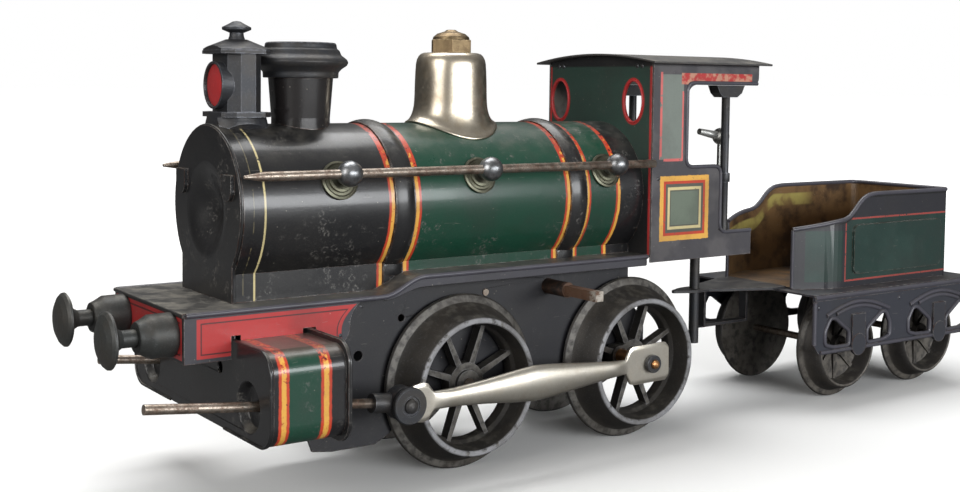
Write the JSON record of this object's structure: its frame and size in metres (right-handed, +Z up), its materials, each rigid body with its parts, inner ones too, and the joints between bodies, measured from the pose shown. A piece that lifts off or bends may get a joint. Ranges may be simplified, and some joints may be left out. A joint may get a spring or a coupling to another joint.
{
  "type": "clockwork toy steam locomotive with tender",
  "caption": "Tinplate clockwork toy locomotive with dummy cylinders, moving rods and pistons, winding arbor, headlamp and cab, pulling a four-wheeled tender",
  "frame": {"origin": "rail-top level on the centreline, midway between the two locomotive axles", "axes": "+X rearwards from the buffers to the tender, +Y to the right of the locomotive facing forward, +Z up"},
  "size_m": [0.4089, 0.1098, 0.1504],
  "materials": {
    "black_tin": "japanned black over tinplate, worn",
    "red_tin": "red enamel on tinplate",
    "green_tin": "dark green enamel on tinplate, lined",
    "nickel": "polished nickel plate, tarnished",
    "steel": "drawn steel, slightly rusted",
    "brass": "turned or stamped brass",
    "cast_grey": "dark grey casting",
    "red_lens": "red painted lens disc",
    "spring_steel": "blued spring steel",
    "rusty_steel": "rusted steel"
  },
  "bodies": {
    "loco": {"footplate": "black_tin", "apron": "red_tin", "frame_left": "black_tin", "frame_right": "black_tin", "frame_pillars": "steel", "boiler": "green_tin", "smokebox_front": "black_tin", "chimney": "black_tin", "chimney_cap": "cast_grey", "lamp": "cast_grey", "lamp_lens": "red_lens", "dome": "nickel", "dome_bolt": "brass", "handrails": "steel", "rail_knobs": "steel", "rail_rosettes": "brass", "cab_front": "green_tin", "cab_left": "green_tin", "cab_right": "green_tin", "cab_roof": "black_tin", "cab_pillars": "cast_grey", "cylinder_front": "black_tin", "cylinder_rear": "black_tin", "cylinder_left": "green_tin", "cylinder_right": "green_tin", "buffer_stocks": "cast_grey", "draw_pin": "steel", "mainspring": "spring_steel"},
    "drive_wheelset": {"drive_axle": "steel", "drive_wheels": "cast_grey", "crank_pins": "brass", "crank_collars": "cast_grey", "drive_pinion": "brass"},
    "front_wheelset": {"front_axle": "steel", "front_wheels": "cast_grey"},
    "con_rod_left": {"rod_left": "nickel", "rod_disc_left": "cast_grey"},
    "con_rod_right": {"rod_right": "nickel", "rod_disc_right": "cast_grey"},
    "piston_rod_left": {"piston_left": "steel", "crosshead_left": "cast_grey"},
    "piston_rod_right": {"piston_right": "steel", "crosshead_right": "cast_grey"},
    "great_gear": {"great_wheel": "brass"},
    "winder": {"winding_arbor": "rusty_steel", "ratchet_wheel": "steel"},
    "pawl": {"click": "steel"},
    "middle_gear": {"middle_wheel": "brass"},
    "lever": {"control_lever": "nickel"},
    "buffer_plunger_left": {"buffer_left": "cast_grey"},
    "buffer_plunger_right": {"buffer_right": "cast_grey"},
    "tender": {"tender_body": "green_tin", "tender_chassis": "black_tin", "drawbar": "black_tin", "tender_hook": "black_tin"},
    "tender_wheelset_front": {"tender_axle_front": "steel", "tender_wheels_front": "cast_grey"},
    "tender_wheelset_rear": {"tender_axle_rear": "steel", "tender_wheels_rear": "cast_grey"}
  },
  "joints": [
    {"name": "drive_axle_spin", "type": "hinge", "parent": "loco", "child": "drive_wheelset", "pos_m": [0.0375, 0, 0.0255], "axis": [0, 1, 0], "continuous": true},
    {"name": "front_axle_spin", "type": "hinge", "parent": "loco", "child": "front_wheelset", "pos_m": [-0.0375, 0, 0.0255], "axis": [0, 1, 0], "continuous": true},
    {"name": "left_rod_turn", "type": "hinge", "parent": "drive_wheelset", "child": "con_rod_left", "pos_m": [0.03081, -0.04265, 0.02755], "axis": [0, 1, 0], "continuous": true},
    {"name": "right_rod_turn", "type": "hinge", "parent": "drive_wheelset", "child": "con_rod_right", "pos_m": [0.04419, 0.04265, 0.02345], "axis": [0, 1, 0], "continuous": true},
    {"name": "left_piston_slide", "type": "slide", "parent": "loco", "child": "piston_rod_left", "axis": [0.9942, 0, -0.108], "range_m": [-0.0004, 0.0139]},
    {"name": "right_piston_slide", "type": "slide", "parent": "loco", "child": "piston_rod_right", "axis": [0.9942, 0, -0.108], "range_m": [-0.0139, 0.0004]},
    {"name": "middle_wheel_turn", "type": "hinge", "parent": "loco", "child": "middle_gear", "pos_m": [0.02883, 0, 0.04572], "axis": [0, 1, 0], "continuous": true},
    {"name": "great_wheel_turn", "type": "hinge", "parent": "loco", "child": "great_gear", "pos_m": [0.0015, 0, 0.0548], "axis": [0, 1, 0], "continuous": true},
    {"name": "winding_turn", "type": "hinge", "parent": "great_gear", "child": "winder", "pos_m": [0.0015, 0, 0.0548], "axis": [0, 1, 0], "continuous": true},
    {"name": "click_lift", "type": "hinge", "parent": "great_gear", "child": "pawl", "pos_m": [0.0155, -0.0045, 0.0564], "axis": [0, 1, 0], "range_deg": [0, 12]},
    {"name": "lever_swing", "type": "hinge", "parent": "loco", "child": "lever", "pos_m": [0.0855, -0.0225, 0.0695], "axis": [0, 1, 0], "range_deg": [-12, 8]},
    {"name": "left_buffer_press", "type": "slide", "parent": "loco", "child": "buffer_plunger_left", "axis": [1, 0, 0], "range_m": [0, 0.004]},
    {"name": "right_buffer_press", "type": "slide", "parent": "loco", "child": "buffer_plunger_right", "axis": [1, 0, 0], "range_m": [0, 0.004]},
    {"name": "tender_swing", "type": "hinge", "parent": "loco", "child": "tender", "pos_m": [0.0943, 0, 0.043], "axis": [0, 0, 1], "range_deg": [-15, 15]},
    {"name": "tender_front_axle_spin", "type": "hinge", "parent": "tender", "child": "tender_wheelset_front", "pos_m": [0.155, 0, 0.0179], "axis": [0, 1, 0], "continuous": true},
    {"name": "tender_rear_axle_spin", "type": "hinge", "parent": "tender", "child": "tender_wheelset_rear", "pos_m": [0.21, 0, 0.0179], "axis": [0, 1, 0], "continuous": true}
  ],
  "couplings": [
    {"joint": "left_rod_turn", "follows": "drive_axle_spin", "ratio": -1},
    {"joint": "right_rod_turn", "follows": "drive_axle_spin", "ratio": -1},
    {"joint": "middle_wheel_turn", "follows": "drive_axle_spin", "ratio": -0.375},
    {"joint": "great_wheel_turn", "follows": "drive_axle_spin", "ratio": 0.075}
  ]
}
